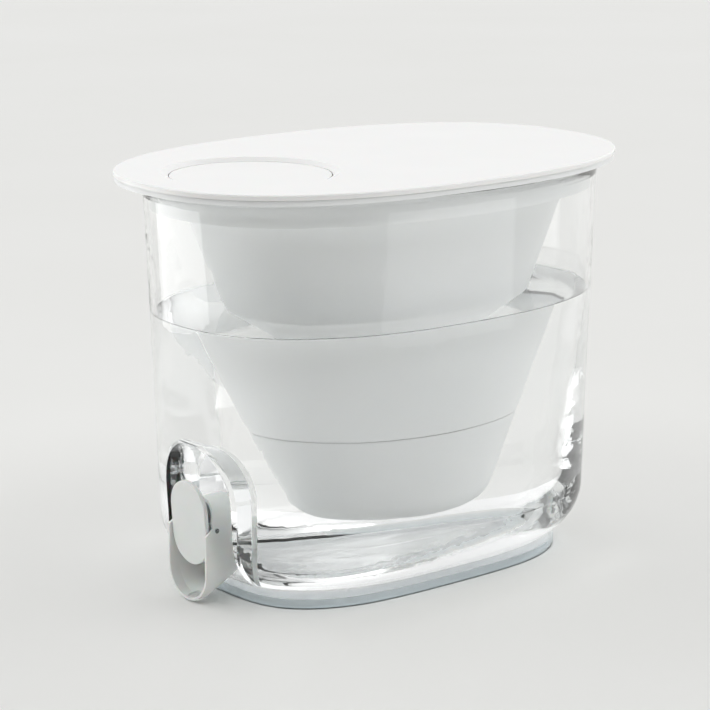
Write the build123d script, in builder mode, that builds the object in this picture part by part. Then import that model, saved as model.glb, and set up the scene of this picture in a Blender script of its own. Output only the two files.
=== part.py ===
from build123d import *
from math import asin, atan2, cos, pi, radians, sin, sqrt, tan
import os

# Gravity water filter with a tap: a clear oval tank on a foot ring, a milky funnel that hangs
# in its rim, a filter housing with a round cartridge under the funnel, a flat oval lid with a
# round pour-through flap, and a paddle tap in an arched pocket of the tank's front end.
# Millimetres. +Z is up, -Y points to the tap, the origin lies on the table under the
# middle of the lid.

# ---------------------------------------------------------------- driving dimensions
# Stack of the rim, from the top down
overall_height = 265.0
lid_thickness = 3.2
lid_groove = 0.3
flange_thickness = 3.1
rim_gap = 0.3

# Lid outline (a superellipse) and its round refill opening
lid_length = 346.6
lid_width = 228.6
lid_exponent = 2.37
lid_edge_radius = 1.2
lid_skirt_depth = 9.0
lid_skirt_wall = 1.8
lid_skirt_clearance = 0.8
opening_end_distance = 77.8
opening_radius = 50.5
dish_width = 5.0
dish_depth = 2.0
flap_gap = 0.7
flap_thickness = 2.4
flap_edge_radius = 0.4

# Tank: how far the lid stands out over its rim, how far its wall leans in, wall and base
tank_set_back = 3.7
rim_overhang_end = 13.6
rim_overhang_side = 6.9
tank_rim_exponent = 2.19
wall_lean_end = 19.3
wall_lean_side = 11.6
tank_base_exponent = 2.88
tank_wall = 3.0
tank_bottom_z = 5.6
tank_edge_radius = 36.5
flare_height = 8.6
flare_out = 4.0
flare_overrun = 2.0
foot_inset = 16.8
foot_exponent = 3.17
foot_wall = 3.0

# Arched pocket for the tap
pocket_depth = 20.7
pocket_half_width = 29.7
pocket_top_z = 95.2
pocket_draft = 10.5
pocket_floor_z = 11.2

# Hopper: flange, collar in the tank's rim, shelf, funnel and neck
flange_inset = 0.8
collar_clearance = 1.0
collar_wall = 2.4
collar_depth = 13.9
shelf_thickness = 2.4
funnel_centre_y = 5.7
shelf_width_end = 26.3
shelf_width_side = 25.9
funnel_top_exponent = 2.6
parting_z = 98.2
funnel_lean_end = 54.6
funnel_lean_side = 26.3
funnel_end_exponent = 2.0
funnel_wall = 2.4
hopper_floor = 2.4
neck_depth = 8.0
neck_wall = 2.2
neck_clearance = 0.6

# Filter housing below the parting line
parting_gap = 0.3
housing_bottom_z = 42.0
housing_wall = 2.2
housing_edge_radius = 11.0
outlet_slot_width = 3.0
outlet_slot_length = 20.0
outlet_slot_pitch = 8.0
outlet_slot_spacing = 32.0
outlet_slot_rows = 7

# Round filter cartridge in the hopper's floor
cartridge_radius = 38.8
cartridge_wall = 1.8
cartridge_bottom_z = 53.0
cartridge_flange_radius = 44.0
cartridge_flange_thickness = 2.5
cartridge_seat_gap = 0.1
cartridge_draft = 2.0
socket_clearance = 1.4
socket_wall = 2.0
socket_depth = 13.0
seal_section_radius = 1.25
seal_gap = 0.05
foot_hole_radius = 2.2
foot_hole_pitch = 9.8
foot_hole_rings = 4
mesh_thickness = 0.8
chamber_gap = 0.1
cap_height = 18.0
cap_wall = 1.8
cap_slot_count = 12
cap_slot_ring_radius = 28.0
cap_slot_length = 12.0
cap_slot_width = 2.0
cap_grip_height = 6.0
cap_grip_root = 3.0
cap_grip_length = 30.0
cap_grip_width = 4.0

# Flap hinge, a little behind the flap's middle, so that its front edge falls shut
hinge_offset = 6.0
hinge_drop = 2.8
hinge_rod_radius = 1.25
hinge_boss_radius = 2.6
hinge_clearance = 0.05
ear_inset = 2.0
ear_width = 3.8
lug_inset = 1.0
lug_width = 3.5
ledge_reach = 2.2
ledge_wall = 2.0
ledge_gap = 0.3
ledge_thickness = 1.4
ledge_end_distance = 20.0
flap_spring_wire_radius = 0.4
flap_spring_clearance = 0.3
flap_spring_pitch = 1.0
flap_spring_turns = 5

# Tap housing, with its reach in front of the pocket's back wall
tap_half_width = 20.0
tap_wall = 1.5
tap_reach = 31.4
tap_chute_reach = 24.5
tap_bottom_z = 1.0
tap_rear_bottom_z = 14.0
tap_top_z = 65.0
tap_back_wall = 4.0
tap_step_z = 46.0
tap_step_back = 6.0
tap_step_rise = 4.0
tap_brow_z = 53.0
tap_brow_back = 13.4
tap_outlet_radius = 4.5
tap_outlet_reach = 25.5

# Tap fixing through the pocket's wall
spigot_z = 34.0
spigot_radius = 10.7
spigot_length = 17.2
spigot_bore_radius = 6.5
spigot_hole_clearance = 0.5
gasket_width = 5.5
gasket_clearance = 0.2
outer_gasket_thickness = 1.2
inner_gasket_thickness = 1.0
nut_thickness = 7.0
nut_radius = 18.0
nut_sides = 8
nut_corner_radius = 1.5
nut_bore_clearance = 0.05
strainer_length = 5.0
strainer_wall = 1.2
strainer_clearance = 0.05
strainer_hole_radius = 0.8
strainer_hole_pitch = 2.6
strainer_hole_rows = 3

# Valve
seat_height = 1.2
seat_width = 1.5
valve_gap = 0.1
valve_disc_radius = 8.6
valve_disc_thickness = 2.5
stem_radius = 1.5
stem_plate_radius = 6.5
stem_plate_thickness = 1.4
stem_head_radius = 3.2
stem_head_thickness = 1.6
stem_head_reach = 24.7
stem_guide_reach = 20.2
stem_guide_thickness = 2.4
stem_guide_height = 10.0
stem_guide_clearance = 0.08
spring_wire_radius = 0.35
spring_mean_radius = 4.2
spring_turns = 4
spring_end_gap = 0.1

# Paddle
pivot_reach = 22.7
pivot_z = 48.5
pivot_pin_radius = 1.5
pivot_clearance = 0.05
paddle_width = 35.4
paddle_height = 54.0
paddle_thickness = 3.0
paddle_reach = 30.15
paddle_middle_z = 50.5
paddle_lean = 3.9
paddle_edge_radius = 0.6
paddle_ear_x = 12.0
paddle_ear_width = 3.0
paddle_boss_radius = 3.2
fork_gap = 2.3
fork_width = 1.6
fork_height = 3.0
fork_hook_thickness = 1.2
fork_hook_gap = 0.4

# ---------------------------------------------------------------- derived places
lid_bottom_z = overall_height - lid_thickness
flange_top_z = lid_bottom_z - lid_groove
flange_bottom_z = flange_top_z - flange_thickness
tank_top_z = flange_bottom_z - rim_gap
tank_rim_length = lid_length - 2 * rim_overhang_end
tank_rim_width = lid_width - 2 * rim_overhang_side
tank_base_length = tank_rim_length - 2 * wall_lean_end
tank_base_width = tank_rim_width - 2 * wall_lean_side
foot_length = tank_base_length - 2 * foot_inset
foot_width = tank_base_width - 2 * foot_inset
flare_z = tank_top_z - flare_height
bend_z = tank_bottom_z + tank_edge_radius
flap_top_z = overall_height - dish_depth
flap_bottom_z = flap_top_z - flap_thickness
flap_radius = opening_radius - flap_gap
opening_centre_y = opening_end_distance - lid_length / 2
hinge_y = opening_centre_y + hinge_offset
hinge_z = flap_bottom_z - hinge_drop
ear_outer_x = sqrt(flap_radius ** 2 - hinge_offset ** 2) - ear_inset
lug_inner_x = sqrt(opening_radius ** 2 - hinge_offset ** 2) + lug_inset
lug_outer_x = lug_inner_x + lug_width
collar_bottom_z = flange_bottom_z - collar_depth
funnel_top_length = tank_rim_length - 2 * shelf_width_end
funnel_top_width = tank_rim_width - 2 * shelf_width_side
funnel_end_length = funnel_top_length - 2 * funnel_lean_end
funnel_end_width = funnel_top_width - 2 * funnel_lean_side
neck_bottom_z = parting_z - neck_depth
hopper_floor_z = parting_z + hopper_floor
socket_bottom_z = parting_z - socket_depth
socket_radius = cartridge_radius + socket_clearance
housing_top_z = parting_z - parting_gap
pocket_back_y = tank_set_back - tank_base_length / 2 + pocket_depth
pocket_inner_y = pocket_back_y + tank_wall
tap_front_y = pocket_back_y - tap_reach
tap_chute_y = pocket_back_y - tap_chute_reach
tap_outlet_y = pocket_back_y - tap_outlet_reach
tap_back_y = pocket_back_y - outer_gasket_thickness
tap_inside_y = tap_back_y - tap_back_wall
seat_y = tap_inside_y - seat_height
stem_plate_y = seat_y - valve_gap - valve_disc_thickness
stem_head_front_y = pocket_back_y - stem_head_reach
stem_guide_back_y = pocket_back_y - stem_guide_reach + stem_guide_thickness
pivot_y = pocket_back_y - pivot_reach
paddle_middle_y = pocket_back_y - paddle_reach
funnel_axis = Axis((0, funnel_centre_y, 0), (0, 0, 1))

# How finely the ovals and the rounded and flared walls are drawn
outline_points = 20
edge_steps = 6
flare_steps = 4


# ---------------------------------------------------------------- shapes that repeat
def between(low, high, share):
    """Value that lies the given share of the way from low to high."""
    return low + (high - low) * share


def oval(z, half_length, half_width, exponent, centre_y):
    """Flat superellipse face at height z with its long axis along Y."""
    points = []
    for index in range(outline_points):
        turn = 2 * pi * index / outline_points
        direction = atan2(half_length * sin(turn), half_width * cos(turn))
        across = abs(cos(direction) / half_width) ** exponent
        along = abs(sin(direction) / half_length) ** exponent
        reach = (across + along) ** (-1 / exponent)
        points.append(Vector(reach * cos(direction), centre_y + reach * sin(direction)))
    knots = [index / outline_points for index in range(outline_points + 1)]
    outline = Edge.make_spline(points, periodic=True, parameters=knots)
    with BuildSketch(Plane.XY.offset(z)) as section:
        with BuildLine():
            add(outline)
        make_face()
    return section.sketch


def tank_oval(z, outset=0.0):
    """Section of the tank's drafted wall at height z, moved outwards by outset."""
    share = z / tank_top_z
    half_length = between(tank_base_length, tank_rim_length, share) / 2 + outset
    half_width = between(tank_base_width, tank_rim_width, share) / 2 + outset
    exponent = between(tank_base_exponent, tank_rim_exponent, share)
    return oval(z, half_length, half_width, exponent, tank_set_back)


def funnel_oval(z, outset=0.0):
    """Section of the funnel's cone at height z, moved outwards by outset."""
    share = (z - parting_z) / (collar_bottom_z - parting_z)
    half_length = between(funnel_end_length, funnel_top_length, share) / 2 + outset
    half_width = between(funnel_end_width, funnel_top_width, share) / 2 + outset
    exponent = between(funnel_end_exponent, funnel_top_exponent, share)
    return oval(z, half_length, half_width, exponent, funnel_centre_y)


def rounded_base(section, bottom_z, radius):
    """Sections of a base whose edge is rounded with radius, from the bottom up."""
    sections = []
    for step in range(edge_steps + 1):
        angle = pi / 2 * step / edge_steps
        height = bottom_z + radius * (1 - cos(angle))
        sections.append(section(height, -radius * (1 - sin(angle))))
    return sections


def arch(y, half_width, top_z, foot_z):
    """Face with a round top and straight sides in the plane at y."""
    spring_z = top_z - half_width
    with BuildSketch(Plane.XZ.offset(-y)) as face:
        with BuildLine():
            Line((-half_width, foot_z), (-half_width, spring_z))
            ThreePointArc((-half_width, spring_z), (0, top_z), (half_width, spring_z))
            Line((half_width, spring_z), (half_width, foot_z))
            Line((half_width, foot_z), (-half_width, foot_z))
        make_face()
    return face.sketch


def stadium(y, half_width, bottom_z, top_z):
    """Face with a round top and a round bottom in the plane at y."""
    low_z = bottom_z + half_width
    high_z = top_z - half_width
    with BuildSketch(Plane.XZ.offset(-y)) as face:
        with BuildLine():
            Line((-half_width, low_z), (-half_width, high_z))
            ThreePointArc((-half_width, high_z), (0, top_z), (half_width, high_z))
            Line((half_width, high_z), (half_width, low_z))
            ThreePointArc((half_width, low_z), (0, bottom_z), (-half_width, low_z))
        make_face()
    return face.sketch


def side_profile(x, points):
    """Face in the plane at x, with its corners given as (y, z)."""
    with BuildSketch(Plane.YZ.offset(x)) as face:
        with BuildLine():
            Polyline(*points, close=True)
        make_face()
    return face.sketch


def knuckle(x, top_z):
    """Round-ended hinge ear in the plane at x, from the flap's axis up to top_z."""
    with BuildSketch(Plane.YZ.offset(x)) as face:
        with BuildLine():
            Line((hinge_y - hinge_boss_radius, top_z), (hinge_y - hinge_boss_radius, hinge_z))
            ThreePointArc((hinge_y - hinge_boss_radius, hinge_z),
                          (hinge_y, hinge_z - hinge_boss_radius),
                          (hinge_y + hinge_boss_radius, hinge_z))
            Line((hinge_y + hinge_boss_radius, hinge_z), (hinge_y + hinge_boss_radius, top_z))
            Line((hinge_y + hinge_boss_radius, top_z), (hinge_y - hinge_boss_radius, top_z))
        make_face()
    return face.sketch


def disc_along_y(y, radius, centre_z, inner_radius=0.0):
    """Round face, or ring, in the plane at y around the spigot's axis."""
    with BuildSketch(Plane.XZ.offset(-y)) as face:
        with Locations((0, centre_z)):
            Circle(radius)
            if inner_radius > 0:
                Circle(inner_radius, mode=Mode.SUBTRACT)
    return face.sketch


def coil(start, direction, mean_radius, wire_radius, length, turns):
    """Round-wire spring that runs from start along direction."""
    with BuildPart() as spring:
        with BuildLine() as path:
            Helix(pitch=length / turns, height=length, radius=mean_radius,
                  center=start, direction=direction)
        with BuildSketch(Plane(origin=path.line @ 0, z_dir=path.line % 0)):
            Circle(wire_radius)
        sweep(path=path.line, is_frenet=True)
    return spring.part


def shallow_arc(radius, edge_z, crown_z):
    """Arc of a dome's profile from its edge at radius to its crown on the axis."""
    rise = crown_z - edge_z
    sphere_radius = (radius ** 2 + rise ** 2) / (2 * rise)
    half_turn = asin(radius / sphere_radius) / 2
    middle = (sphere_radius * sin(half_turn),
              crown_z - sphere_radius * (1 - cos(half_turn)))
    return (radius, edge_z), middle, (0, crown_z)


def finish(builder, name):
    """Label a piece and write it as its own STEP file."""
    builder.part.label = name
    export_step(builder.part, f"parts/{name}.step")


os.makedirs("parts", exist_ok=True)

# ---------------------------------------------------------------- tank
# The space inside the tank: drafted wall, round lower edge, flared mouth, less the bulge
# that the tap's pocket makes in it.
def flare_sections(inset, height):
    """Sections of the mouth, which curves outwards by flare_out over flare_height."""
    sections = []
    for step in range(flare_steps + 1):
        rise = height * step / flare_steps
        spread = flare_out * (rise / flare_height) ** 2
        sections.append(tank_oval(flare_z + rise, spread - inset))
    return sections


def pocket(grow, front_y, floor_z):
    """Faces of the pocket at its back wall and at front_y, grown by a wall."""
    faces = []
    for y in (pocket_back_y + grow, front_y):
        widening = (pocket_back_y - y) * tan(radians(pocket_draft))
        faces.append(arch(y, pocket_half_width + widening + grow,
                          pocket_top_z + widening + grow, floor_z))
    return faces


with BuildPart() as tank_space:
    inner_radius = tank_edge_radius - tank_wall
    loft(rounded_base(lambda z, outset: tank_oval(z, outset - tank_wall),
                      tank_bottom_z + tank_wall, inner_radius))
    loft([tank_oval(bend_z, -tank_wall), tank_oval(flare_z, -tank_wall)], ruled=True)
    loft(flare_sections(tank_wall, flare_height + flare_overrun))
    loft(pocket(tank_wall, -tank_base_length, -tank_wall), ruled=True, mode=Mode.SUBTRACT)

with BuildPart() as tank:
    loft(rounded_base(tank_oval, tank_bottom_z, tank_edge_radius))
    loft([tank_oval(bend_z), tank_oval(flare_z)], ruled=True)
    loft(flare_sections(0.0, flare_height))
    foot_face = oval(0, foot_length / 2, foot_width / 2, foot_exponent, tank_set_back)
    extrude(foot_face, amount=bend_z / 2)
    foot_hollow = oval(0, foot_length / 2 - foot_wall, foot_width / 2 - foot_wall,
                       foot_exponent, tank_set_back)
    extrude(foot_hollow, amount=tank_bottom_z, mode=Mode.SUBTRACT)
    loft(pocket(0.0, -tank_base_length, pocket_floor_z), ruled=True, mode=Mode.SUBTRACT)
    add(tank_space.part, mode=Mode.SUBTRACT)
    extrude(disc_along_y(pocket_inner_y + tank_wall, spigot_radius + spigot_hole_clearance,
                         spigot_z), amount=3 * tank_wall, mode=Mode.SUBTRACT)
finish(tank, "tank")

# ---------------------------------------------------------------- hopper
collar_inset = tank_wall + collar_clearance
collar_inner_inset = collar_inset + collar_wall
with BuildPart() as hopper:
    flange_half_length = lid_length / 2 - flange_inset
    flange_half_width = lid_width / 2 - flange_inset
    extrude(oval(flange_bottom_z, flange_half_length, flange_half_width, lid_exponent, 0),
            amount=flange_thickness)
    loft([tank_oval(collar_bottom_z - shelf_thickness, -collar_inset),
          tank_oval(flange_bottom_z, -collar_inset)], ruled=True)
    loft([funnel_oval(parting_z), funnel_oval(collar_bottom_z)], ruled=True)
    neck_inset = housing_wall + neck_clearance
    loft([funnel_oval(neck_bottom_z, -neck_inset), funnel_oval(parting_z, -neck_inset)],
         ruled=True)
    # Everything the water stands in is taken out again
    loft([tank_oval(collar_bottom_z, -collar_inner_inset),
          tank_oval(flange_bottom_z, -collar_inner_inset)], ruled=True, mode=Mode.SUBTRACT)
    extrude(tank_oval(flange_bottom_z, -collar_inner_inset),
            amount=2 * flange_thickness, mode=Mode.SUBTRACT)
    loft([funnel_oval(hopper_floor_z, -funnel_wall), funnel_oval(collar_bottom_z, -funnel_wall)],
         ruled=True, mode=Mode.SUBTRACT)
    neck_inner_inset = neck_inset + neck_wall
    loft([funnel_oval(neck_bottom_z, -neck_inner_inset),
          funnel_oval(parting_z, -neck_inner_inset)], ruled=True, mode=Mode.SUBTRACT)
    # Socket for the cartridge in the floor
    with BuildSketch(Plane.XY.offset(socket_bottom_z)):
        with Locations((0, funnel_centre_y)):
            Circle(socket_radius + socket_wall)
    extrude(amount=hopper_floor_z - socket_bottom_z)
    with BuildSketch(Plane.XY.offset(socket_bottom_z)):
        with Locations((0, funnel_centre_y)):
            Circle(socket_radius)
    extrude(amount=hopper_floor_z - socket_bottom_z, mode=Mode.SUBTRACT)
finish(hopper, "hopper")

# ---------------------------------------------------------------- filter housing
with BuildPart() as filter_housing:
    housing_bend_z = housing_bottom_z + housing_edge_radius
    loft(rounded_base(funnel_oval, housing_bottom_z, housing_edge_radius))
    loft([funnel_oval(housing_bend_z), funnel_oval(housing_top_z)], ruled=True)
    housing_inner_radius = housing_edge_radius - housing_wall
    loft(rounded_base(lambda z, outset: funnel_oval(z, outset - housing_wall),
                      housing_bottom_z + housing_wall, housing_inner_radius),
         mode=Mode.SUBTRACT)
    loft([funnel_oval(housing_bend_z, -housing_wall),
          funnel_oval(housing_top_z, -housing_wall)], ruled=True, mode=Mode.SUBTRACT)
    with BuildSketch(Plane.XY.offset(housing_bottom_z)):
        with Locations((0, funnel_centre_y)):
            with GridLocations(outlet_slot_spacing, outlet_slot_pitch, 2, outlet_slot_rows):
                SlotOverall(outlet_slot_length, outlet_slot_width)
    extrude(amount=housing_wall, both=True, mode=Mode.SUBTRACT)
finish(filter_housing, "filter_housing")

# ---------------------------------------------------------------- filter cartridge
cartridge_seat_z = hopper_floor_z + cartridge_seat_gap
cartridge_top_z = cartridge_seat_z + cartridge_flange_thickness
groove_z = (socket_bottom_z + parting_z) / 2
groove_radius = socket_radius - 2 * seal_section_radius
draft_height = socket_bottom_z - cartridge_bottom_z
cartridge_foot_radius = cartridge_radius - draft_height * tan(radians(cartridge_draft))
cartridge_axis = Plane(origin=(0, funnel_centre_y, 0), z_dir=(0, -1, 0), x_dir=(1, 0, 0))

with BuildPart() as cartridge_body:
    with BuildSketch(cartridge_axis):
        with BuildLine():
            Polyline((0, cartridge_bottom_z), (cartridge_foot_radius, cartridge_bottom_z),
                     (cartridge_radius, socket_bottom_z),
                     (cartridge_radius, cartridge_seat_z),
                     (cartridge_flange_radius, cartridge_seat_z),
                     (cartridge_flange_radius, cartridge_top_z),
                     (cartridge_radius - cartridge_wall, cartridge_top_z),
                     (cartridge_radius - cartridge_wall, socket_bottom_z),
                     (cartridge_foot_radius - cartridge_wall,
                      cartridge_bottom_z + cartridge_wall),
                     (0, cartridge_bottom_z + cartridge_wall), close=True)
        make_face()
    revolve(axis=funnel_axis)
    with BuildSketch(Plane.XY.offset(groove_z - seal_section_radius)):
        with Locations((0, funnel_centre_y)):
            Circle(socket_radius)
            Circle(groove_radius, mode=Mode.SUBTRACT)
    extrude(amount=2 * seal_section_radius, mode=Mode.SUBTRACT)
    with BuildSketch(Plane.XY.offset(cartridge_bottom_z)):
        with Locations((0, funnel_centre_y)):
            for ring in range(foot_hole_rings):
                with PolarLocations(ring * foot_hole_pitch, max(1, 6 * ring)):
                    Circle(foot_hole_radius)
    extrude(amount=cartridge_wall, both=True, mode=Mode.SUBTRACT)
finish(cartridge_body, "cartridge_body")

with BuildPart() as cartridge_seal:
    seal_radius = seal_section_radius - seal_gap
    with BuildSketch(cartridge_axis):
        with Locations((socket_radius - seal_gap - seal_radius, groove_z)):
            Circle(seal_radius)
    revolve(axis=funnel_axis)
finish(cartridge_seal, "cartridge_seal")

inside_top_radius = cartridge_radius - cartridge_wall
inside_foot_radius = cartridge_foot_radius - cartridge_wall
media_bottom_z = cartridge_bottom_z + cartridge_wall + mesh_thickness
media_top_z = socket_bottom_z - mesh_thickness


def inside_radius(z):
    """Radius of the cartridge's drafted chamber at height z, less a fit gap."""
    share = (z - cartridge_bottom_z - cartridge_wall) / (draft_height - cartridge_wall)
    return between(inside_foot_radius, inside_top_radius, share) - chamber_gap


def chamber_disc(bottom_z, top_z):
    """Solid that fills the cartridge's chamber between two heights."""
    with BuildPart() as disc:
        for z in (bottom_z, top_z):
            with BuildSketch(Plane.XY.offset(z)):
                with Locations((0, funnel_centre_y)):
                    Circle(inside_radius(z))
        loft(ruled=True)
    return disc


cartridge_bottom_mesh = chamber_disc(cartridge_bottom_z + cartridge_wall, media_bottom_z)
finish(cartridge_bottom_mesh, "cartridge_bottom_mesh")
cartridge_media = chamber_disc(media_bottom_z, media_top_z)
finish(cartridge_media, "cartridge_media")
cartridge_top_mesh = chamber_disc(media_top_z, media_top_z + mesh_thickness)
finish(cartridge_top_mesh, "cartridge_top_mesh")

with BuildPart() as cartridge_cap:
    cap_top_z = cartridge_top_z + cap_height
    cap_inner_radius = cartridge_radius - cap_wall
    with BuildSketch(cartridge_axis):
        with BuildLine():
            Polyline((cap_inner_radius, cartridge_top_z), (cartridge_radius, cartridge_top_z),
                     (cartridge_radius, cartridge_top_z + cap_wall))
            ThreePointArc(*shallow_arc(cartridge_radius, cartridge_top_z + cap_wall, cap_top_z))
            Line((0, cap_top_z), (0, cap_top_z - cap_wall))
            ThreePointArc(*shallow_arc(cap_inner_radius, cartridge_top_z, cap_top_z - cap_wall))
        make_face()
    revolve(axis=funnel_axis)
    with BuildSketch(Plane.XY.offset(cap_top_z - cap_grip_root)):
        with Locations((0, funnel_centre_y)):
            SlotOverall(cap_grip_length, cap_grip_width)
    extrude(amount=cap_grip_root + cap_grip_height)
    with BuildSketch(Plane.XY.offset(cartridge_top_z)):
        with Locations((0, funnel_centre_y)):
            with PolarLocations(cap_slot_ring_radius, cap_slot_count):
                SlotOverall(cap_slot_length, cap_slot_width)
    extrude(amount=cap_height, mode=Mode.SUBTRACT)
finish(cartridge_cap, "cartridge_cap")

# ---------------------------------------------------------------- lid and flap
with BuildPart() as lid:
    extrude(oval(lid_bottom_z, lid_length / 2, lid_width / 2, lid_exponent, 0),
            amount=lid_thickness)
    fillet(lid.faces().sort_by(Axis.Z)[-1].outer_wire().edges(), lid_edge_radius)
    # Skirt that keeps the lid centred in the hopper's collar
    skirt_inset = collar_inner_inset + lid_skirt_clearance
    extrude(tank_oval(lid_bottom_z - lid_skirt_depth, -skirt_inset), amount=lid_skirt_depth)
    extrude(tank_oval(lid_bottom_z - lid_skirt_depth, -skirt_inset - lid_skirt_wall),
            amount=lid_skirt_depth, mode=Mode.SUBTRACT)
    # Round opening with a shallow dish around it
    for radius_low, radius_high, low_z in (
            (opening_radius, opening_radius, lid_bottom_z - lid_thickness),
            (opening_radius, opening_radius + dish_width, flap_top_z)):
        for radius, z in ((radius_low, low_z), (radius_high, overall_height)):
            with BuildSketch(Plane.XY.offset(z)):
                with Locations((0, opening_centre_y)):
                    Circle(radius)
        loft(ruled=True, mode=Mode.SUBTRACT)
    # Ledge that the flap's front edge lies on
    ledge_top_z = flap_bottom_z - ledge_gap
    with BuildSketch(Plane.XY.offset(ledge_top_z - ledge_thickness)):
        with Locations((0, opening_centre_y)):
            Circle(opening_radius + ledge_wall)
            Circle(opening_radius - ledge_reach, mode=Mode.SUBTRACT)
        with Locations((0, opening_centre_y - ledge_end_distance)):
            Rectangle(3 * opening_radius, 3 * opening_radius,
                      align=(Align.CENTER, Align.MIN), mode=Mode.SUBTRACT)
    extrude(amount=lid_bottom_z - ledge_top_z + ledge_thickness)
    with BuildSketch(Plane.XY.offset(ledge_top_z)):
        with Locations((0, opening_centre_y)):
            Circle(opening_radius)
    extrude(amount=lid_bottom_z - ledge_top_z, mode=Mode.SUBTRACT)
    # Lugs that carry the hinge rod
    for side in (-1, 1):
        extrude(knuckle(side * lug_inner_x, lid_bottom_z), amount=lug_width, dir=(side, 0, 0))
    with BuildSketch(Plane.YZ):
        with Locations((hinge_y, hinge_z)):
            Circle(hinge_rod_radius + hinge_clearance)
    extrude(amount=lug_outer_x, both=True, mode=Mode.SUBTRACT)
finish(lid, "lid")

with BuildPart() as refill_flap:
    with BuildSketch(Plane.XY.offset(flap_bottom_z)):
        with Locations((0, opening_centre_y)):
            Circle(flap_radius)
    extrude(amount=flap_thickness)
    fillet(refill_flap.faces().sort_by(Axis.Z)[-1].edges(), flap_edge_radius)
    for side in (-1, 1):
        extrude(knuckle(side * ear_outer_x, flap_bottom_z), amount=ear_width,
                dir=(-side, 0, 0))
    with BuildSketch(Plane.YZ):
        with Locations((hinge_y, hinge_z)):
            Circle(hinge_rod_radius + hinge_clearance)
    extrude(amount=lug_outer_x, both=True, mode=Mode.SUBTRACT)
finish(refill_flap, "refill_flap")

with BuildPart() as flap_hinge_rod:
    with BuildSketch(Plane.YZ):
        with Locations((hinge_y, hinge_z)):
            Circle(hinge_rod_radius)
    extrude(amount=lug_outer_x, both=True)
finish(flap_hinge_rod, "flap_hinge_rod")

flap_spring_length = flap_spring_turns * flap_spring_pitch
flap_spring_radius = hinge_rod_radius + flap_spring_clearance + flap_spring_wire_radius
with BuildPart() as flap_spring:
    add(coil((ear_outer_x - ear_width - 2 * flap_spring_length, hinge_y, hinge_z), (1, 0, 0),
             flap_spring_radius, flap_spring_wire_radius, flap_spring_length,
             flap_spring_turns))
finish(flap_spring, "flap_spring")

# ---------------------------------------------------------------- tap housing
rear_share = (tap_inside_y - tap_chute_y) / (tap_back_y - tap_chute_y)
inside_rear_bottom_z = between(tap_bottom_z, tap_rear_bottom_z, rear_share)
tap_inner_half_width = tap_half_width - tap_wall
with BuildPart() as tap_body:
    extrude(stadium(tap_front_y, tap_half_width, tap_bottom_z, tap_top_z),
            amount=tap_front_y - tap_chute_y)
    loft([stadium(tap_chute_y, tap_half_width, tap_bottom_z, tap_top_z),
          stadium(tap_back_y, tap_half_width, tap_rear_bottom_z, tap_top_z)], ruled=True)
    extrude(stadium(tap_front_y, tap_inner_half_width, tap_bottom_z + tap_wall,
                    tap_top_z - tap_wall), amount=tap_front_y - tap_chute_y,
            mode=Mode.SUBTRACT)
    loft([stadium(tap_chute_y, tap_inner_half_width, tap_bottom_z + tap_wall,
                  tap_top_z - tap_wall),
          stadium(tap_inside_y, tap_inner_half_width, inside_rear_bottom_z + tap_wall,
                  tap_top_z - tap_wall)], ruled=True, mode=Mode.SUBTRACT)
    # The front edge steps back beside the pivot and leans back over the top
    clear_y = tap_front_y - tap_wall
    with BuildSketch(Plane.YZ.offset(-tap_half_width)):
        with BuildLine():
            Polyline((clear_y, tap_step_z), (tap_front_y, tap_step_z),
                     (tap_front_y + tap_step_back, tap_step_z + tap_step_rise),
                     (tap_front_y + tap_step_back, tap_brow_z),
                     (tap_front_y + tap_brow_back, tap_top_z + tap_wall),
                     (clear_y, tap_top_z + tap_wall), close=True)
        make_face()
    extrude(amount=2 * tap_half_width, mode=Mode.SUBTRACT)
    # Spigot through the tank's wall, its bore and the valve seat
    extrude(disc_along_y(tap_back_y + spigot_length, spigot_radius, spigot_z),
            amount=spigot_length)
    extrude(disc_along_y(tap_inside_y, spigot_bore_radius + seat_width, spigot_z),
            amount=seat_height)
    extrude(disc_along_y(tap_back_y + spigot_length, spigot_bore_radius, spigot_z),
            amount=spigot_length + tap_back_wall + seat_height, mode=Mode.SUBTRACT)
    with BuildSketch(Plane.YZ):
        with Locations((pivot_y, pivot_z)):
            Circle(pivot_pin_radius + pivot_clearance)
    extrude(amount=tap_half_width, both=True, mode=Mode.SUBTRACT)
    # Round hole in the bottom of the trough, where the water runs out
    with BuildSketch():
        with Locations((0, tap_outlet_y)):
            Circle(tap_outlet_radius)
    extrude(amount=tap_half_width - tap_inner_half_width + 2 * tap_outlet_radius,
            mode=Mode.SUBTRACT)
finish(tap_body, "tap_body")

with BuildPart() as tap_outer_gasket:
    gasket_inner = spigot_radius + gasket_clearance
    extrude(disc_along_y(pocket_back_y, gasket_inner + gasket_width, spigot_z, gasket_inner),
            amount=outer_gasket_thickness)
finish(tap_outer_gasket, "tap_outer_gasket")

with BuildPart() as tap_inner_gasket:
    extrude(disc_along_y(pocket_inner_y + inner_gasket_thickness,
                         gasket_inner + gasket_width, spigot_z, gasket_inner),
            amount=inner_gasket_thickness)
finish(tap_inner_gasket, "tap_inner_gasket")

nut_back_y = pocket_inner_y + inner_gasket_thickness + nut_thickness
with BuildPart() as tap_lock_nut:
    with BuildSketch(Plane.XZ.offset(-nut_back_y)):
        with Locations((0, spigot_z)):
            RegularPolygon(nut_radius, nut_sides)
            Circle(spigot_radius + nut_bore_clearance, mode=Mode.SUBTRACT)
    extrude(amount=nut_thickness)
    fillet(tap_lock_nut.edges().filter_by(Axis.Y), nut_corner_radius)
finish(tap_lock_nut, "tap_lock_nut")

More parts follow.
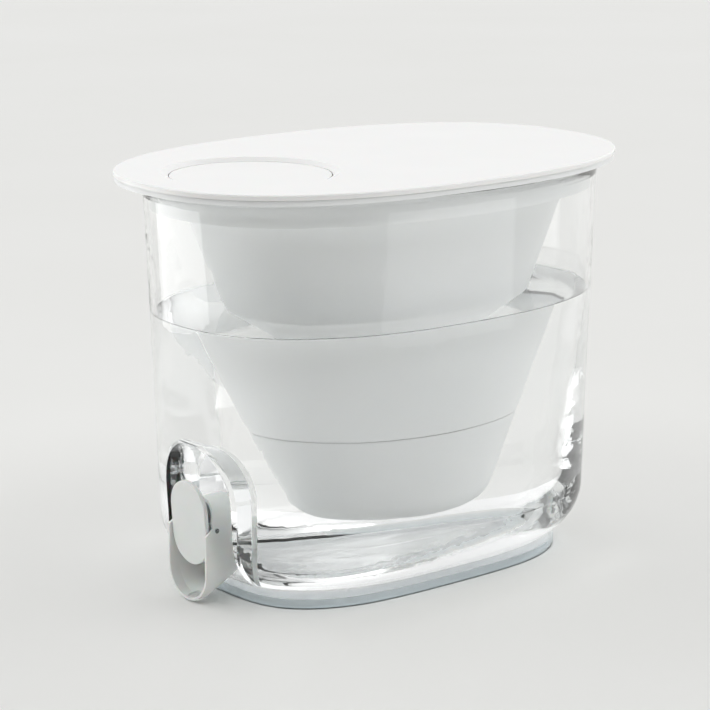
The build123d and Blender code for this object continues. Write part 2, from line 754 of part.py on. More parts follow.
strainer_outer = spigot_bore_radius - strainer_clearance
spigot_end_y = tap_back_y + spigot_length
with BuildPart() as tap_inlet_strainer:
    extrude(disc_along_y(spigot_end_y, strainer_outer, spigot_z), amount=strainer_length)
    extrude(disc_along_y(spigot_end_y + strainer_wall, spigot_radius, spigot_z),
            amount=strainer_wall)
    extrude(disc_along_y(spigot_end_y, strainer_outer - strainer_wall, spigot_z),
            amount=strainer_length, mode=Mode.SUBTRACT)
    with BuildSketch(Plane.XZ.offset(-spigot_end_y - strainer_length)):
        with Locations((0, spigot_z)):
            with GridLocations(strainer_hole_pitch, strainer_hole_pitch,
                               strainer_hole_rows, strainer_hole_rows):
                Circle(strainer_hole_radius)
    extrude(amount=-2 * strainer_length, mode=Mode.SUBTRACT)
finish(tap_inlet_strainer, "tap_inlet_strainer")

with BuildPart() as tap_stem_guide:
    with BuildSketch(Plane.XZ.offset(-stem_guide_back_y)):
        with Locations((0, spigot_z)):
            Rectangle(2 * tap_inner_half_width, stem_guide_height)
            Circle(stem_radius + stem_guide_clearance, mode=Mode.SUBTRACT)
    extrude(amount=stem_guide_thickness)
finish(tap_stem_guide, "tap_stem_guide")

# ---------------------------------------------------------------- valve
with BuildPart() as tap_stem:
    extrude(disc_along_y(stem_plate_y, stem_plate_radius, spigot_z),
            amount=stem_plate_thickness)
    extrude(disc_along_y(stem_plate_y, stem_radius, spigot_z),
            amount=stem_plate_y - stem_head_front_y)
    extrude(disc_along_y(stem_head_front_y + stem_head_thickness, stem_head_radius, spigot_z),
            amount=stem_head_thickness)
finish(tap_stem, "tap_stem")

with BuildPart() as tap_valve_disc:
    extrude(disc_along_y(stem_plate_y + valve_disc_thickness, valve_disc_radius, spigot_z),
            amount=valve_disc_thickness)
finish(tap_valve_disc, "tap_valve_disc")

spring_start_y = stem_guide_back_y + spring_end_gap + spring_wire_radius
spring_end_y = stem_plate_y - stem_plate_thickness - spring_end_gap - spring_wire_radius
with BuildPart() as tap_spring:
    add(coil((0, spring_start_y, spigot_z), (0, 1, 0), spring_mean_radius,
             spring_wire_radius, spring_end_y - spring_start_y, spring_turns))
finish(tap_spring, "tap_spring")

# ---------------------------------------------------------------- paddle
lean = radians(paddle_lean)
paddle_plane = Plane(origin=(0, paddle_middle_y, paddle_middle_z), x_dir=(1, 0, 0),
                     z_dir=(0, -cos(lean), -sin(lean)))
paddle_rear_at_stem = (paddle_middle_y + (paddle_middle_z - spigot_z) * tan(lean)
                       + paddle_thickness / cos(lean))
hook_front_y = stem_head_front_y + stem_head_thickness + fork_hook_gap
hook_back_y = hook_front_y + fork_hook_thickness
with BuildPart() as tap_paddle:
    with BuildSketch(paddle_plane):
        SlotOverall(paddle_height, paddle_width, rotation=90)
    extrude(amount=-paddle_thickness)
    fillet(tap_paddle.faces().sort_by(Axis.Y)[0].edges(), paddle_edge_radius)
    rear_y = paddle_middle_y + paddle_thickness / 2
    for side in (-1, 1):
        ear = side_profile(side * paddle_ear_x, (
            (rear_y, pivot_z + 2 * paddle_boss_radius),
            (pivot_y, pivot_z + paddle_boss_radius), (pivot_y, pivot_z - paddle_boss_radius),
            (rear_y, pivot_z - 2 * paddle_boss_radius)))
        extrude(ear, amount=paddle_ear_width, dir=(side, 0, 0))
        with BuildSketch(Plane.YZ.offset(side * paddle_ear_x)):
            with Locations((pivot_y, pivot_z)):
                Circle(paddle_boss_radius)
        extrude(amount=side * paddle_ear_width)
        # Fork that pulls the stem's head
        prong_x = stem_radius + fork_gap
        low_z = spigot_z - fork_height / 2
        high_z = spigot_z + fork_height / 2
        prong = side_profile(side * prong_x, (
            (paddle_rear_at_stem - paddle_thickness / 2, low_z), (hook_back_y, low_z),
            (hook_back_y, high_z), (paddle_rear_at_stem - paddle_thickness / 2, high_z)))
        extrude(prong, amount=fork_width, dir=(side, 0, 0))
        hook = side_profile(side * (stem_radius + fork_hook_gap), (
            (hook_front_y, low_z), (hook_back_y, low_z), (hook_back_y, high_z),
            (hook_front_y, high_z)))
        extrude(hook, amount=prong_x - stem_radius, dir=(side, 0, 0))
    with BuildSketch(Plane.YZ):
        with Locations((pivot_y, pivot_z)):
            Circle(pivot_pin_radius + pivot_clearance)
    extrude(amount=tap_half_width, both=True, mode=Mode.SUBTRACT)
finish(tap_paddle, "tap_paddle")

with BuildPart() as tap_pivot_pin:
    with BuildSketch(Plane.YZ):
        with Locations((pivot_y, pivot_z)):
            Circle(pivot_pin_radius)
    extrude(amount=tap_half_width, both=True)
finish(tap_pivot_pin, "tap_pivot_pin")
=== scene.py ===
import math

import bmesh
import bpy
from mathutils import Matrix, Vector
from mathutils.bvhtree import BVHTree
from mathutils.geometry import barycentric_transform


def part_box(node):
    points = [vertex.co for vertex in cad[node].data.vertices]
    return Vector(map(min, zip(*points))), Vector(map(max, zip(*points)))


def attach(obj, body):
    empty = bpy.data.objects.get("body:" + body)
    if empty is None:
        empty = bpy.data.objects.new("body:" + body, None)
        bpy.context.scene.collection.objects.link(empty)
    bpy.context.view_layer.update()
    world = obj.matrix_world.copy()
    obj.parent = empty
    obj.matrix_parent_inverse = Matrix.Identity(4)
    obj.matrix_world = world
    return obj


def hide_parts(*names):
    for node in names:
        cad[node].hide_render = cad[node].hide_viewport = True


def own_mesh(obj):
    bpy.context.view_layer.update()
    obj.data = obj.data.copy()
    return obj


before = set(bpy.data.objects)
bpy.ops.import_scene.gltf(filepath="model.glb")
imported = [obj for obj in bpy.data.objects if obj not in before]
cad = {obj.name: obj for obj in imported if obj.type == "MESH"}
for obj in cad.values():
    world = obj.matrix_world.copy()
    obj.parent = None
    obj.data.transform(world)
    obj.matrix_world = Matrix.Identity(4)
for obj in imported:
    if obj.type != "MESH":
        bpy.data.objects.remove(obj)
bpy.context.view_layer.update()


# The studio: a pale table in a white tent. The tent is brightest high up at both sides and above the
# camera, glows evenly behind the filter and is dark behind the camera, which draws the clear tank's edges.
# Two white boards stand on the table beside the filter.
def linear(hex_colour):
    """An sRGB hex colour as the linear colour that a shader takes."""
    channels = [int(hex_colour[i:i + 2], 16) / 255 for i in (1, 3, 5)]
    return [c / 12.92 if c <= 0.04045 else ((c + 0.055) / 1.055) ** 2.4 for c in channels] + [1.0]


def add(tree, kind, inputs=None, **settings):
    """One more node in a tree. Settings are its properties; inputs are values or other nodes' outlets."""
    node = tree.nodes.new(kind)
    for name, value in settings.items():
        setattr(node, name, value)
    for socket, value in (inputs or {}).items():
        if isinstance(value, bpy.types.NodeSocket):
            tree.links.new(value, node.inputs[socket])
        else:
            node.inputs[socket].default_value = value
    return node


world = bpy.data.worlds.new("white_tent")
bpy.context.scene.world = world
world.use_nodes = True
tent = world.node_tree
tent.nodes.clear()
toward = add(tent, "ShaderNodeTexCoord").outputs["Generated"]
toward = add(tent, "ShaderNodeSeparateXYZ", {0: toward}).outputs
# The compass direction as a share of a full turn, from +Y towards +X.
turn = add(tent, "ShaderNodeMath", {0: toward["X"], 1: toward["Y"]}, operation="ARCTAN2").outputs[0]
turn = add(tent, "ShaderNodeMath", {0: turn, 1: math.tau}, operation="DIVIDE").outputs[0]
turn = add(tent, "ShaderNodeMath", {0: turn, 1: 1.0}, operation="FLOORED_MODULO").outputs[0]
# A ramp's colours stay under 1, so the levels are divided by this and the light is multiplied by it.
ramp_top = 3.0
exposure = 1.04


def panels(levels):
    """A band of the tent: its light at compass angles in degrees, which blends from one to the next."""
    band = add(tent, "ShaderNodeValToRGB", {"Fac": turn})
    band.color_ramp.interpolation = "EASE"
    stops = band.color_ramp.elements
    while len(stops) < len(levels):
        stops.new(0.5)
    for stop, (angle, level) in zip(stops, levels):
        stop.position = angle / 360
        stop.color = [level / ramp_top] * 3 + [1]
    return band.outputs["Color"]


walls = panels([(0, 1.38), (40, 0.87), (85, 0.0), (130, 0.0), (175, 0.24), (220, 0.0), (265, 1.12),
                (310, 0.87), (355, 1.43), (360, 1.38)])
slopes = panels([(0, 1.36), (40, 2.05), (130, 1.65), (220, 2.53), (310, 0.49), (360, 1.36)])
zenith = [0.4 / ramp_top] * 3 + [1]
# The walls reach up to 39 degrees above the table, and the slopes from there to 60 degrees.
to_slopes = add(tent, "ShaderNodeMapRange", {"Value": toward["Z"], "From Min": 0.58, "From Max": 0.68},
                interpolation_type="SMOOTHSTEP").outputs[0]
to_top = add(tent, "ShaderNodeMapRange", {"Value": toward["Z"], "From Min": 0.82, "From Max": 0.91},
             interpolation_type="SMOOTHSTEP").outputs[0]
glow = add(tent, "ShaderNodeMix", {0: to_slopes, 6: walls, 7: slopes}, data_type="RGBA").outputs[2]
glow = add(tent, "ShaderNodeMix", {0: to_top, 6: glow, 7: zenith}, data_type="RGBA").outputs[2]
tent_light = add(tent, "ShaderNodeBackground", {"Color": glow, "Strength": exposure * ramp_top})
add(tent, "ShaderNodeOutputWorld", {"Surface": tent_light.outputs[0]})

# The boards light the filter, not the table, which stays even from every side.
all_but_table = bpy.data.collections.new("all_but_table")


def board(name, azimuth, radiance):
    """A glowing white board that stands on the table and faces the filter."""
    distance, width, height, gap_below = 0.62, 0.5, 0.55, 0.002
    light = bpy.data.lights.new(name, "AREA")
    light.shape = "RECTANGLE"
    light.size, light.size_y = width, height
    light.energy = math.pi * width * height * radiance
    lamp = bpy.data.objects.new(name, light)
    a = math.radians(azimuth)
    lamp.location = (distance * math.sin(a), distance * math.cos(a), height / 2 + gap_below)
    lamp.rotation_euler = (math.pi / 2, 0, math.pi - a)
    lamp.visible_camera = False
    lamp.light_linking.receiver_collection = all_but_table
    bpy.context.collection.objects.link(lamp)


board("board_right", 66, 0.45)
board("board_left", 222, 1.17)


def material(name):
    """A new, empty material and its tree."""
    made = bpy.data.materials.new(name)
    made.use_nodes = True
    made.node_tree.nodes.clear()
    return made, made.node_tree


# The table top: pale laminate, honed, so that it takes a soft shadow and hardly any reflection. Its
# tone drifts by a shade, as a printed sheet's does.
table_top, tree = material("laminate_table_top")
place = add(tree, "ShaderNodeTexCoord").outputs["Object"]
cloud = add(tree, "ShaderNodeTexNoise", {"Vector": place, "Scale": 3.0, "Detail": 3.0, "Roughness": 0.5})
tone = add(tree, "ShaderNodeMix", {0: cloud.outputs[0], 6: linear("#E9E9E6"), 7: linear("#EDEDEB")},
           data_type="RGBA")
shader = add(tree, "ShaderNodeBsdfPrincipled",
             {"Base Color": tone.outputs[2], "Roughness": 0.55, "Specular IOR Level": 0.3})
add(tree, "ShaderNodeOutputMaterial", {"Surface": shader.outputs[0]})
mesh = bpy.data.meshes.new("table")
reach = 14.0
corners = [(-reach, -reach, 0), (reach, -reach, 0), (reach, reach, 0), (-reach, reach, 0)]
mesh.from_pydata(corners, [], [(0, 1, 2, 3)])
mesh.materials.append(table_top)
table = bpy.data.objects.new("table", mesh)
bpy.context.collection.objects.link(table)
all_but_table.objects.link(table)
all_but_table.collection_objects[0].light_linking.link_state = "EXCLUDE"


# The camera: a long lens, 1.65 m away from the filter, which looks down on it by 13 degrees past the
# corner where the tap's end meets the long side.
lens = bpy.data.cameras.new("camera")
lens.sensor_width = 36.0
lens.lens = 129.53
lens.clip_end = 60.0
camera = bpy.data.objects.new("camera", lens)
camera.location = (1.23560, -1.02321, 0.51868)
aimed_at = Vector((0.0, -0.01309, 0.13703))
camera.rotation_euler = (aimed_at - camera.location).to_track_quat("-Z", "Y").to_euler()
bpy.context.collection.objects.link(camera)
bpy.context.scene.camera = camera
bpy.context.scene.view_settings.view_transform = "Standard"
# Light that comes back from the funnel has crossed the water, both faces of the wall and often the tank's
# floor, which is a mirror from above, so its paths are long and stay sharp.
paths = bpy.context.scene.cycles
paths.max_bounces, paths.transmission_bounces, paths.glossy_bounces = 24, 24, 16
paths.transparent_max_bounces = 40
paths.blur_glossy = 0.0


# The tank: one injection moulding of clear copolyester with 3 mm walls, polished in the tool. Where it
# is wet its inner face hardly bends light, so the wetted faces have a finish of their own.
water_level = 0.1744
creep = 0.0011
# A surface midway through the wall, in millimetres: a superellipse that grows towards the mouth and is
# squarer at the foot, with a round lower edge. The tap's pocket and its spigot's hole lie outside it.
mouth_z, middle_y = 258.1, 3.7
foot_half_length, length_gain = 138.4, 19.3
foot_half_width, width_gain = 93.8, 11.6
foot_exponent, exponent_loss = 2.88, 0.69
edge_top_z, edge_radius, floor_z = 42.1, 35.0, 7.0
pocket_y, pocket_rim_y, pocket_draft = -114.5, -116.0, math.tan(math.radians(10.5))
pocket_half_width, pocket_shoulder_z = 31.2, 65.5
tap_hole_y, tap_hole_z, tap_hole_radius = -113.02, 34.0, 12.0


def wetted(face):
    """Whether a face of the tank has water against it."""
    at = face.calc_center_median() * 1000
    if not floor_z < at.z <= (water_level + creep) * 1000:
        return False
    up = at.z / mouth_z
    into_edge = min(max((edge_top_z - at.z) / edge_radius, 0.0), 1.0)
    pulled_in = edge_radius * (1 - math.sqrt(1 - into_edge ** 2))
    half_length = foot_half_length + length_gain * up - pulled_in
    half_width = foot_half_width + width_gain * up - pulled_in
    exponent = foot_exponent - exponent_loss * up
    if abs((at.y - middle_y) / half_length) ** exponent + abs(at.x / half_width) ** exponent >= 1:
        return False
    pocket_reach = pocket_half_width + (pocket_rim_y - at.y) * pocket_draft
    in_pocket = at.y < pocket_y and math.hypot(at.x, max(at.z - pocket_shoulder_z, 0)) < pocket_reach
    in_tap_hole = at.y < tap_hole_y and math.hypot(at.x, at.z - tap_hole_z) < tap_hole_radius
    return not in_pocket and not in_tap_hole


moulded = cad["tank"].data
shell = bmesh.new()
shell.from_mesh(moulded)
bmesh.ops.remove_doubles(shell, verts=shell.verts, dist=1e-6)
bmesh.ops.bisect_plane(shell, geom=shell.verts[:] + shell.edges[:] + shell.faces[:], dist=1e-7,
                       plane_co=(0, 0, water_level + creep), plane_no=(0, 0, 1))
for face in shell.faces:
    face.material_index = 1 if wetted(face) else 0
    face.smooth = True
mesh = bpy.data.meshes.new("tank_shell")
shell.to_mesh(mesh)

# The copy takes over the moulding's own true surface normals, so that nothing seen through it is faceted.
true_normals = [corner.vector.copy() for corner in moulded.corner_normals]
finder = BVHTree.FromPolygons([v.co for v in moulded.vertices], [p.vertices for p in moulded.polygons])
normals = [Vector((0, 0, 1))] * len(mesh.loops)
for polygon in mesh.polygons:
    near = finder.find_nearest_range(polygon.center, 0.00005)
    twin = max((moulded.polygons[hit[2]] for hit in near), key=lambda p: p.normal.dot(polygon.normal))
    corners = [moulded.vertices[v].co for v in twin.vertices]
    across = [true_normals[loop] for loop in twin.loop_indices]
    for loop in polygon.loop_indices:
        here = mesh.vertices[mesh.loops[loop].vertex_index].co
        normal = barycentric_transform(here, *corners, *across)
        normals[loop] = normal.normalized() if 0.5 < normal.length < 1.5 else twin.normal.copy()
mesh.normals_split_custom_set(normals)

plastic_ior, water_ior = 1.57, 1.333
underside_z, eroded_roughness = 0.007, 0.6
ring_z, wall_z = 0.0085, 0.0125
for name, ior in (("copolyester_injection_moulded_clear", plastic_ior),
                  ("copolyester_wetted_face", plastic_ior / water_ior)):
    clear_plastic, tree = material(name)
    place = add(tree, "ShaderNodeTexCoord").outputs["Object"]
    # Sink waves about 30 mm long and a thousandth of a millimetre deep bend a reflection's edge a little.
    waves = add(tree, "ShaderNodeTexNoise", {"Vector": place, "Scale": 33.0, "Detail": 1.0})
    relief = add(tree, "ShaderNodeBump", {"Height": waves.outputs[0], "Strength": 1.0, "Distance": 0.000003})
    tint = add(tree, "ShaderNodeMix", {0: waves.outputs[0], 6: linear("#FDFEFE"), 7: linear("#FFFFFF")},
               data_type="RGBA")
    # The underside, inside the foot ring, was moulded against a spark-eroded face: it is matt, and the
    # table can't be seen through it.
    height = add(tree, "ShaderNodeSeparateXYZ", {0: place}).outputs["Z"]
    low = add(tree, "ShaderNodeMath", {0: height, 1: underside_z}, operation="LESS_THAN").outputs[0]
    facing = add(tree, "ShaderNodeNewGeometry").outputs["True Normal"]
    facing = add(tree, "ShaderNodeSeparateXYZ", {0: facing}).outputs["Z"]
    facing = add(tree, "ShaderNodeMath", {0: facing}, operation="ABSOLUTE").outputs[0]
    flat = add(tree, "ShaderNodeMath", {0: facing, 1: 0.9}, operation="GREATER_THAN").outputs[0]
    matt = add(tree, "ShaderNodeMath", {0: low, 1: flat}, operation="MULTIPLY").outputs[0]
    matt = add(tree, "ShaderNodeMath", {0: matt, 1: eroded_roughness}, operation="MULTIPLY").outputs[0]
    # The foot ring is the thickest section. Its blue-grey tint is painted shade: it stands for the shadowed
    # table and the bluish reflection seen through the ring, edge on.
    above = add(tree, "ShaderNodeMapRange", {"Value": height, "From Min": ring_z, "From Max": wall_z},
                interpolation_type="SMOOTHSTEP").outputs[0]
    outside_painted_ring_shade = add(tree, "ShaderNodeMath", {0: above, 1: flat}, operation="MAXIMUM").outputs[0]
    # Painted shade: the foot ring's base colour is a blue-grey tint, and the rest of the tank keeps its clear
    # tint.
    tint = add(tree, "ShaderNodeMix", {0: outside_painted_ring_shade, 6: linear("#E2EBF1"), 7: tint.outputs[2]},
               data_type="RGBA")
    shader = add(tree, "ShaderNodeBsdfPrincipled", {"Base Color": tint.outputs[2], "Roughness": matt,
                 "IOR": ior, "Transmission Weight": 1.0, "Normal": relief.outputs[0]})
    add(tree, "ShaderNodeOutputMaterial", {"Surface": shader.outputs[0]})
    mesh.materials.append(clear_plastic)
tank_shell = bpy.data.objects.new("tank_shell", mesh)
bpy.context.collection.objects.link(tank_shell)
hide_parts("tank")
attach(tank_shell, "tank")


# The water that stands in the tank, up to 174 mm, level inside and outside the funnel. Its skin lies a
# third of a millimetre inside the tank's wall, where light passes it unbent, as the wall bends it already.
skin = 0.00035
pool = shell
dry = [face for face in pool.faces if face.material_index == 0]
bmesh.ops.delete(pool, geom=dry, context="FACES")
tap_hole = [edge for edge in pool.edges if edge.is_boundary and edge.verts[0].co.z < 0.1]
bmesh.ops.holes_fill(pool, edges=tap_hole, sides=0)
pool.normal_update()
moved = [(vertex, vertex.co - vertex.normal * skin) for vertex in pool.verts]
for vertex, where in moved:
    vertex.co = Vector((where.x, where.y, vertex.co.z if vertex.is_boundary else where.z))
against_wall = set(pool.faces)
# Where the water meets the wall it creeps up by a millimetre, in a curve that is level again 5 mm away.
# The pairs are the way in from the wall and the height above the still surface.
surface_half_width, surface_half_length, surface_middle_y = 0.107, 0.157, 0.0037
meniscus = ((0.0006, 0.0006), (0.0014, 0.00025), (0.0028, 0.00007), (0.0050, 0.0))
rim = [edge for edge in pool.edges if edge.is_boundary]
reached = 0.0
for inset, rise in meniscus:
    extruded = bmesh.ops.extrude_edge_only(pool, edges=rim)
    rim = [made for made in extruded["geom"] if isinstance(made, bmesh.types.BMEdge)]
    for vertex in {vertex for edge in rim for vertex in edge.verts}:
        inward = Vector((-vertex.co.x / surface_half_width ** 2,
                         -(vertex.co.y - surface_middle_y) / surface_half_length ** 2, 0)).normalized()
        vertex.co += inward * (inset - reached)
        vertex.co.z = water_level + rise
    reached = inset
bmesh.ops.edgeloop_fill(pool, edges=rim)
bmesh.ops.recalc_face_normals(pool, faces=pool.faces)
if pool.calc_volume(signed=True) < 0:
    bmesh.ops.reverse_faces(pool, faces=pool.faces)
for face in pool.faces:
    face.smooth = True
    face.material_index = 1 if face in against_wall else 0
for edge in pool.edges:
    if edge.is_manifold and edge.calc_face_angle() > math.radians(35):
        edge.smooth = False
mesh = bpy.data.meshes.new("water")
pool.to_mesh(mesh)
pool.free()
water = bpy.data.objects.new("water", mesh)
bpy.context.collection.objects.link(water)
still_water, tree = material("water_still")
place = add(tree, "ShaderNodeTexCoord").outputs["Object"]
# Standing water still shivers: ripples about 60 mm long and hundredths of a millimetre high, which keep
# the reflections on it from lying dead flat.
ripples = add(tree, "ShaderNodeTexNoise", {"Vector": place, "Scale": 16.0, "Detail": 1.0})
relief = add(tree, "ShaderNodeBump", {"Height": ripples.outputs[0], "Strength": 1.0, "Distance": 0.00005})
tint = add(tree, "ShaderNodeMix", {0: ripples.outputs[0], 6: linear("#FEFFFF"), 7: linear("#FFFFFF")},
           data_type="RGBA")
shader = add(tree, "ShaderNodeBsdfPrincipled", {"Base Color": tint.outputs[2], "Roughness": 0.0,
             "IOR": water_ior, "Transmission Weight": 1.0, "Normal": relief.outputs[0]})
add(tree, "ShaderNodeOutputMaterial", {"Surface": shader.outputs[0]})
mesh.materials.append(still_water)
# The side that lies against the wall can't be seen as a face of its own.
unbent, tree = material("water_against_the_wall")
clear = add(tree, "ShaderNodeBsdfTransparent", {"Color": linear("#FFFFFF")})
add(tree, "ShaderNodeOutputMaterial", {"Surface": clear.outputs[0]})
mesh.materials.append(unbent)
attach(water, "tank")


# The funnel and the housing under it: natural polypropylene, injection moulded, 2.4 mm thick. It is
# milky: light goes a few millimetres into it and comes out again softened, and its skin is satin.
def dress(made, *nodes):
    """Gives a CAD node's surface a finished material."""
    for node in nodes:
        cad[node].data.materials.clear()
        cad[node].data.materials.append(made)


milky_plastic, tree = material("polypropylene_injection_moulded_natural")
place = add(tree, "ShaderNodeTexCoord").outputs["Object"]
haze = add(tree, "ShaderNodeTexNoise", {"Vector": place, "Scale": 12.0, "Detail": 2.0})
grain = add(tree, "ShaderNodeTexNoise", {"Vector": place, "Scale": 1400.0, "Detail": 2.0})
relief = add(tree, "ShaderNodeBump", {"Height": grain.outputs[0], "Strength": 0.6, "Distance": 0.00001})
tone = add(tree, "ShaderNodeMix", {0: haze.outputs[0], 6: linear("#EFF1F1"), 7: linear("#F2F4F4")},
           data_type="RGBA")
gloss = add(tree, "ShaderNodeMapRange", {"Value": haze.outputs[0], "To Min": 0.30, "To Max": 0.38})
shader = add(tree, "ShaderNodeBsdfPrincipled", {"Base Color": tone.outputs[2], "Roughness": gloss.outputs[0],
             "IOR": 1.49, "Subsurface Weight": 0.5, "Subsurface Radius": (1.0, 1.0, 0.95),
             "Subsurface Scale": 0.003, "Normal": relief.outputs[0]})
add(tree, "ShaderNodeOutputMaterial", {"Surface": shader.outputs[0]})
dress(milky_plastic, "hopper", "filter_housing")


# The lid and its round refill flap: white ABS, injection moulded against a polished tool. Gloss white
# all over, with the faint orange peel of a large flat moulding.
white_plastic, tree = material("abs_injection_moulded_gloss_white")
place = add(tree, "ShaderNodeTexCoord").outputs["Object"]
peel = add(tree, "ShaderNodeTexNoise", {"Vector": place, "Scale": 420.0, "Detail": 1.0})
relief = add(tree, "ShaderNodeBump", {"Height": peel.outputs[0], "Strength": 0.5, "Distance": 0.000004})
flow = add(tree, "ShaderNodeTexNoise", {"Vector": place, "Scale": 9.0, "Detail": 2.0})
tone = add(tree, "ShaderNodeMix", {0: flow.outputs[0], 6: linear("#F4F4F3"), 7: linear("#F7F7F6")},
           data_type="RGBA")
gloss = add(tree, "ShaderNodeMapRange", {"Value": flow.outputs[0], "To Min": 0.16, "To Max": 0.24})
shader = add(tree, "ShaderNodeBsdfPrincipled", {"Base Color": tone.outputs[2], "Roughness": gloss.outputs[0],
             "IOR": 1.53, "Subsurface Weight": 0.05, "Subsurface Scale": 0.002,
             "Normal": relief.outputs[0]})
add(tree, "ShaderNodeOutputMaterial", {"Surface": shader.outputs[0]})
dress(white_plastic, "lid", "refill_flap")


# The tap's trough, paddle, stem, nut, guide and strainer, and the cartridge's body and cap: white acetal,
# injection moulded. It is slightly waxy, and the tool leaves it with a faint satin grain.
acetal, tree = material("acetal_injection_moulded_white")
place = add(tree, "ShaderNodeTexCoord").outputs["Object"]
grain = add(tree, "ShaderNodeTexNoise", {"Vector": place, "Scale": 1800.0, "Detail": 2.0})
relief = add(tree, "ShaderNodeBump", {"Height": grain.outputs[0], "Strength": 0.6, "Distance": 0.00001})
flow = add(tree, "ShaderNodeTexNoise", {"Vector": place, "Scale": 60.0, "Detail": 2.0})
tone = add(tree, "ShaderNodeMix", {0: flow.outputs[0], 6: linear("#E6EAE8"), 7: linear("#EBEEEC")},
           data_type="RGBA")
shader = add(tree, "ShaderNodeBsdfPrincipled", {"Base Color": tone.outputs[2], "Roughness": 0.28,
             "IOR": 1.48, "Subsurface Weight": 0.2, "Subsurface Scale": 0.002,
             "Normal": relief.outputs[0]})
add(tree, "ShaderNodeOutputMaterial", {"Surface": shader.outputs[0]})
dress(acetal, "tap_body", "tap_stem", "tap_lock_nut", "tap_stem_guide", "tap_inlet_strainer", "tap_paddle",
      "cartridge_body", "cartridge_cap")


# The seals, gaskets and the valve's disc: silicone rubber, compression moulded. Uncoloured and slightly
# dusty, so it has no gloss of its own.
silicone, tree = material("silicone_moulded_clear")
place = add(tree, "ShaderNodeTexCoord").outputs["Object"]
dust = add(tree, "ShaderNodeTexNoise", {"Vector": place, "Scale": 900.0, "Detail": 2.0})
tone = add(tree, "ShaderNodeMix", {0: dust.outputs[0], 6: linear("#D9DDDC"), 7: linear("#E1E4E3")},
           data_type="RGBA")
shader = add(tree, "ShaderNodeBsdfPrincipled", {"Base Color": tone.outputs[2], "Roughness": 0.5, "IOR": 1.41})
add(tree, "ShaderNodeOutputMaterial", {"Surface": shader.outputs[0]})
dress(silicone, "cartridge_seal", "tap_outer_gasket", "tap_inner_gasket", "tap_valve_disc")


# The flap's spring and hinge rod and the paddle's pin: stainless wire. Drawing it through a die leaves
# fine lines that spread its highlights.
steel, tree = material("stainless_steel_drawn_wire")
place = add(tree, "ShaderNodeTexCoord").outputs["Object"]
lines = add(tree, "ShaderNodeTexNoise", {"Vector": place, "Scale": 2500.0, "Detail": 2.0})
gloss = add(tree, "ShaderNodeMapRange", {"Value": lines.outputs[0], "To Min": 0.2, "To Max": 0.34})
shader = add(tree, "ShaderNodeBsdfPrincipled", {"Base Color": linear("#B9BBBD"),
             "Roughness": gloss.outputs[0], "Metallic": 1.0})
add(tree, "ShaderNodeOutputMaterial", {"Surface": shader.outputs[0]})
dress(steel, "flap_spring", "flap_hinge_rod", "tap_pivot_pin")


# The tap's coil spring, of the same wire. Its front end rests on the stem's guide, and its back end comes
# forward with the stem by 3 mm; here it is a plain copy of the coil.
coil = bmesh.new()
coil.from_mesh(cad["tap_spring"].data)
bmesh.ops.remove_doubles(coil, verts=coil.verts, dist=1e-7)
mesh = bpy.data.meshes.new("tap_spring_coil")
coil.to_mesh(mesh)
coil.free()
mesh.materials.clear()
mesh.materials.append(steel)
spring = bpy.data.objects.new("tap_spring_coil", mesh)
bpy.context.collection.objects.link(spring)
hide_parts("tap_spring")
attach(spring, "tank")
low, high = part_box("tap_spring")
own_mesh(spring)


# The filter medium: coconut-shell charcoal, crushed and sieved. Sharp dull-black grains, packed so that
# the bed keeps the shape of the chamber. Real grains are under 1 mm; these are 2 mm, so that they show.
def inputs_of(tree, sockets):
    """Gives a node tree its named inputs, and returns the identifiers that a modifier sets them by."""
    return {name: tree.interface.new_socket(name, in_out="INPUT", socket_type=kind).identifier
            for name, kind in sockets.items()}


def grown(name, tree, mesh, settings, node, body):
    """A mesh that a node tree makes from its inputs. It stands for a node and rides on a body."""
    made = bpy.data.objects.new(name, mesh)
    bpy.context.collection.objects.link(made)
    modifier = made.modifiers.new(tree.name, "NODES")
    modifier.node_group = tree
    for identifier, value in settings.items():
        modifier[identifier] = value
    finished = bpy.data.meshes.new_from_object(made.evaluated_get(bpy.context.evaluated_depsgraph_get()))
    made.modifiers.remove(modifier)
    made.data = finished
    finished.name = name
    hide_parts(node)
    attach(made, body)
    return made


granules, tree = material("coconut_charcoal_crushed_and_sieved")
place = add(tree, "ShaderNodeTexCoord").outputs["Object"]
# Each grain's broken faces differ a little in tone, and their pores take nearly all the gloss.
chips = add(tree, "ShaderNodeTexVoronoi", {"Vector": place, "Scale": 500.0})
pores = add(tree, "ShaderNodeTexNoise", {"Vector": place, "Scale": 3500.0, "Detail": 2.0})
relief = add(tree, "ShaderNodeBump", {"Height": pores.outputs[0], "Strength": 0.8, "Distance": 0.00006})
tone = add(tree, "ShaderNodeMix", {0: chips.outputs["Distance"], 6: linear("#2A2927"), 7: linear("#161514")},
           data_type="RGBA")
shader = add(tree, "ShaderNodeBsdfPrincipled", {"Base Color": tone.outputs[2], "Roughness": 0.62,
             "Normal": relief.outputs[0]})
add(tree, "ShaderNodeOutputMaterial", {"Surface": shader.outputs[0]})

bed = bpy.data.node_groups.new("packed_granules", "GeometryNodeTree")
bed_inputs = inputs_of(bed, {
    "Chamber": "NodeSocketGeometry", "Grain radius": "NodeSocketFloat", "Grain spacing": "NodeSocketFloat",
    "Grains per square metre": "NodeSocketFloat", "Seed": "NodeSocketInt", "Material": "NodeSocketMaterial"})
bed.interface.new_socket("Geometry", in_out="OUTPUT", socket_type="NodeSocketGeometry")
given = add(bed, "NodeGroupInput").outputs
